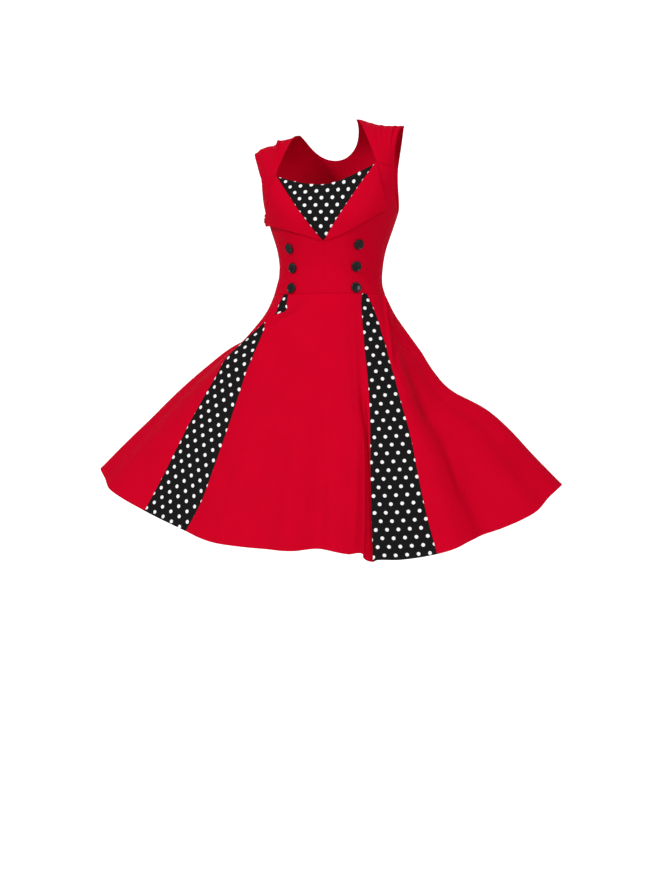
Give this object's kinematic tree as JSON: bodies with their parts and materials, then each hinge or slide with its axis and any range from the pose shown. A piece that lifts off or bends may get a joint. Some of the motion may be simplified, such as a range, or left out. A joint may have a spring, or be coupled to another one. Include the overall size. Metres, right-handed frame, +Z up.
{
  "type": "a-line dress",
  "caption": "Sleeveless red a-line dress with lapels over a dotted V insert, gathered shoulder straps, buttons down the bodice fronts and dotted godets in a flared skirt, held hollow as worn.",
  "frame": {"origin": "midway between the middles of the two shoulder seams", "axes": "+Z up, -Y out of the front of the dress, +X to the wearer's left"},
  "size_m": [1.0014, 0.6194, 0.9339],
  "materials": {
    "red_cloth": "plain red woven cotton sateen, matte with a slight sheen",
    "dotted_cloth": "near-black woven cotton with small white round dots in offset rows, matte",
    "black_button": "glossy black plastic",
    "zip_metal": "satin plated metal"
  },
  "bodies": {
    "dress": {"bodice_front_left": "red_cloth", "bodice_front_right": "red_cloth", "bodice_back_left": "red_cloth", "bodice_back_right": "red_cloth", "shoulder_strap_left": "red_cloth", "shoulder_strap_right": "red_cloth", "lapel_left": "red_cloth", "lapel_right": "red_cloth", "skirt_front": "red_cloth", "skirt_side_left": "red_cloth", "skirt_side_right": "red_cloth", "skirt_back_left": "red_cloth", "skirt_back_right": "red_cloth", "neck_insert": "dotted_cloth", "godet_left": "dotted_cloth", "godet_right": "dotted_cloth", "button_left_1": "black_button", "button_left_2": "black_button", "button_left_3": "black_button", "button_right_1": "black_button", "button_right_2": "black_button", "button_right_3": "black_button", "zip_slider": "zip_metal"},
    "zip_pull": {"zip_pull": "zip_metal"}
  },
  "joints": [
    {"name": "zip_pull_hinge", "type": "hinge", "parent": "dress", "child": "zip_pull", "pos_m": [0.00588, 0.11018, -0.05327], "axis": [1, 0, 0], "range_deg": [-4, 150]}
  ]
}
